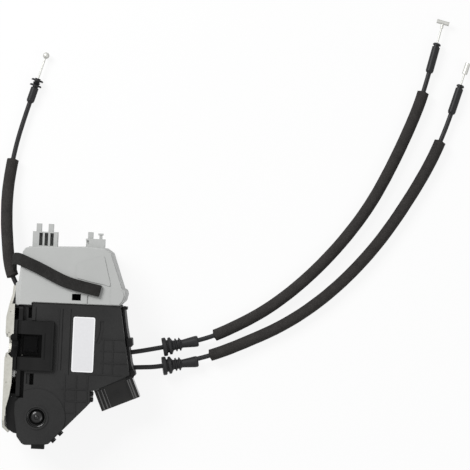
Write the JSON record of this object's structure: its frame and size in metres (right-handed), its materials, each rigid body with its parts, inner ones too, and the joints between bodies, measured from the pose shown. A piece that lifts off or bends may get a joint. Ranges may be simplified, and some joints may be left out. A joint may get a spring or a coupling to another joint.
{
  "type": "door latch actuator",
  "caption": "Vehicle side-door latch with a steel plate and fork bolt, a plastic actuator module with motor and levers, and cables to the handles.",
  "frame": {"origin": "centre of the latched striker leg where it passes the outer face of the latch plate", "axes": "+X from the latch plate into the door, +Y up, +Z to the cabin side; the part lies on its outboard back, which faces -Z"},
  "size_m": [0.3783, 0.3631, 0.0508],
  "materials": {
    "black_plastic": "fine moulded texture",
    "case_plastic": "smooth moulded",
    "grey_plastic": "satin moulded",
    "zinc_steel": "zinc plated",
    "bare_steel": "ground",
    "spring_steel": "drawn wire",
    "gloss_black": "gloss moulded",
    "white_label": "satin paper film",
    "tinned_brass": "tin plated",
    "brass": "turned",
    "gear_plastic": "natural acetal",
    "foam": "open-cell foam",
    "rubber": "moulded rubber",
    "sheath": "extruded plastic",
    "cast_zinc": "die cast"
  },
  "bodies": {
    "latch_body": {"base_plate": "zinc_steel", "case_screws": "zinc_steel", "back_plate": "zinc_steel", "latch_case": "case_plastic", "striker_tray": "case_plastic", "bump_stop": "rubber", "fork_pin": "bare_steel", "pawl_pin": "bare_steel", "fork_spring": "spring_steel", "pawl_spring": "spring_steel", "module_housing": "black_plastic", "module_cover": "black_plastic", "weather_cover": "grey_plastic", "cable_cover": "black_plastic", "label": "white_label", "boss_plug": "gloss_black", "connector_shell": "gloss_black", "connector_pins": "tinned_brass", "foam_strip": "foam", "motor_can": "zinc_steel", "motor_end_cap": "black_plastic", "wheel_axle": "bare_steel", "inside_lever_pin": "bare_steel", "lock_lever_pin": "bare_steel", "outside_lever_pin": "bare_steel", "ajar_switch": "case_plastic", "lock_switch": "case_plastic", "inside_sheath": "sheath", "inside_sleeve": "foam", "inside_inner_ferrule": "sheath", "inside_ferrule": "sheath", "inside_grommet": "rubber", "lock_sheath": "sheath", "lock_sleeve": "foam", "lock_inner_ferrule": "sheath", "lock_ferrule": "sheath", "lock_grommet": "rubber", "outside_sheath": "sheath", "outside_sleeve": "foam", "outside_inner_ferrule": "sheath", "outside_ferrule": "sheath"},
    "fork": {"fork_bolt": "bare_steel", "fork_jacket": "case_plastic"},
    "pawl": {"pawl": "bare_steel"},
    "rotor": {"motor_shaft": "bare_steel", "motor_armature": "bare_steel", "worm": "brass"},
    "wheel": {"worm_wheel": "gear_plastic"},
    "lock_lever": {"lock_lever": "gear_plastic"},
    "inside_lever": {"inside_lever": "zinc_steel"},
    "outside_lever": {"outside_lever": "zinc_steel"},
    "release_link": {"release_link": "gear_plastic"},
    "inside_tail": {"inside_wire_tail": "spring_steel"},
    "inside_end": {"inside_wire_end": "cast_zinc"},
    "lock_tail": {"lock_wire_tail": "spring_steel"},
    "lock_end": {"lock_wire_end": "cast_zinc"},
    "outside_tail": {"outside_wire_tail": "spring_steel"},
    "outside_end": {"outside_wire_end": "cast_zinc"}
  },
  "joints": [
    {"name": "fork_turn", "type": "hinge", "parent": "latch_body", "child": "fork", "pos_m": [0.006, 0.014, 0.004], "axis": [1, 0, 0], "range_deg": [0, 45], "stiffness_Nm_per_rad": 0.05, "springref_deg": -17.19},
    {"name": "pawl_turn", "type": "hinge", "parent": "latch_body", "child": "pawl", "pos_m": [0.006, -0.021, 0.01], "axis": [1, 0, 0], "range_deg": [-3, 20], "stiffness_Nm_per_rad": 0.05},
    {"name": "motor_spin", "type": "hinge", "parent": "latch_body", "child": "rotor", "pos_m": [0.05303, 0.01591, 0.005], "axis": [-1, 0, 0], "range_deg": [0, 2700]},
    {"name": "wheel_turn", "type": "hinge", "parent": "latch_body", "child": "wheel", "pos_m": [0.05303, -0.00509, 0.005], "axis": [0, 0, -1], "range_deg": [0, 76.6]},
    {"name": "lock_lever_turn", "type": "hinge", "parent": "latch_body", "child": "lock_lever", "pos_m": [0.07303, -0.00509, -0.017], "axis": [0, 0, 1], "range_deg": [0, 42.86]},
    {"name": "lock_tail_slide", "type": "slide", "parent": "latch_body", "child": "lock_tail", "axis": [0.9972, 0.0748, 0], "range_m": [0, 0.00919]},
    {"name": "lock_end_slide", "type": "slide", "parent": "latch_body", "child": "lock_end", "axis": [0.2777, 0.9607, 0], "range_m": [0, 0.00919]},
    {"name": "inside_lever_turn", "type": "hinge", "parent": "latch_body", "child": "inside_lever", "pos_m": [0.07229, 0.00762, -0.011], "axis": [0, 0, 1], "range_deg": [0, 36.83], "stiffness_Nm_per_rad": 0.02},
    {"name": "inside_tail_slide", "type": "slide", "parent": "latch_body", "child": "inside_tail", "axis": [0.9921, 0.1253, 0], "range_m": [0, 0.00919]},
    {"name": "inside_end_slide", "type": "slide", "parent": "latch_body", "child": "inside_end", "axis": [0.2249, 0.9744, 0], "range_m": [0, 0.00919]},
    {"name": "outside_lever_turn", "type": "hinge", "parent": "latch_body", "child": "outside_lever", "pos_m": [0.03025, 0.02819, -0.004], "axis": [0, 0, -1], "range_deg": [0, 54.28], "stiffness_Nm_per_rad": 0.02},
    {"name": "outside_tail_slide", "type": "slide", "parent": "latch_body", "child": "outside_tail", "axis": [-0.5812, 0.8137, 0], "range_m": [0, 0.00919]},
    {"name": "outside_end_slide", "type": "slide", "parent": "latch_body", "child": "outside_end", "axis": [0.2873, 0.9578, 0], "range_m": [0, 0.00919]},
    {"name": "release_link_slide", "type": "slide", "parent": "latch_body", "child": "release_link", "axis": [0, -1, 0], "range_m": [0, 0.00652]}
  ],
  "couplings": [
    {"joint": "wheel_turn", "follows": "motor_spin", "ratio": 0.027778},
    {"joint": "lock_lever_turn", "follows": "motor_spin", "ratio": 0.015527},
    {"joint": "lock_tail_slide", "follows": "motor_spin", "m_per_rad": 0.00019099},
    {"joint": "lock_end_slide", "follows": "motor_spin", "m_per_rad": 0.00019099},
    {"joint": "inside_tail_slide", "follows": "inside_lever_turn", "m_per_rad": 0.014},
    {"joint": "inside_end_slide", "follows": "inside_lever_turn", "m_per_rad": 0.014},
    {"joint": "outside_tail_slide", "follows": "outside_lever_turn", "m_per_rad": 0.0095},
    {"joint": "outside_end_slide", "follows": "outside_lever_turn", "m_per_rad": 0.0095},
    {"joint": "release_link_slide", "follows": "outside_lever_turn", "m_per_rad": 0.0067411}
  ]
}
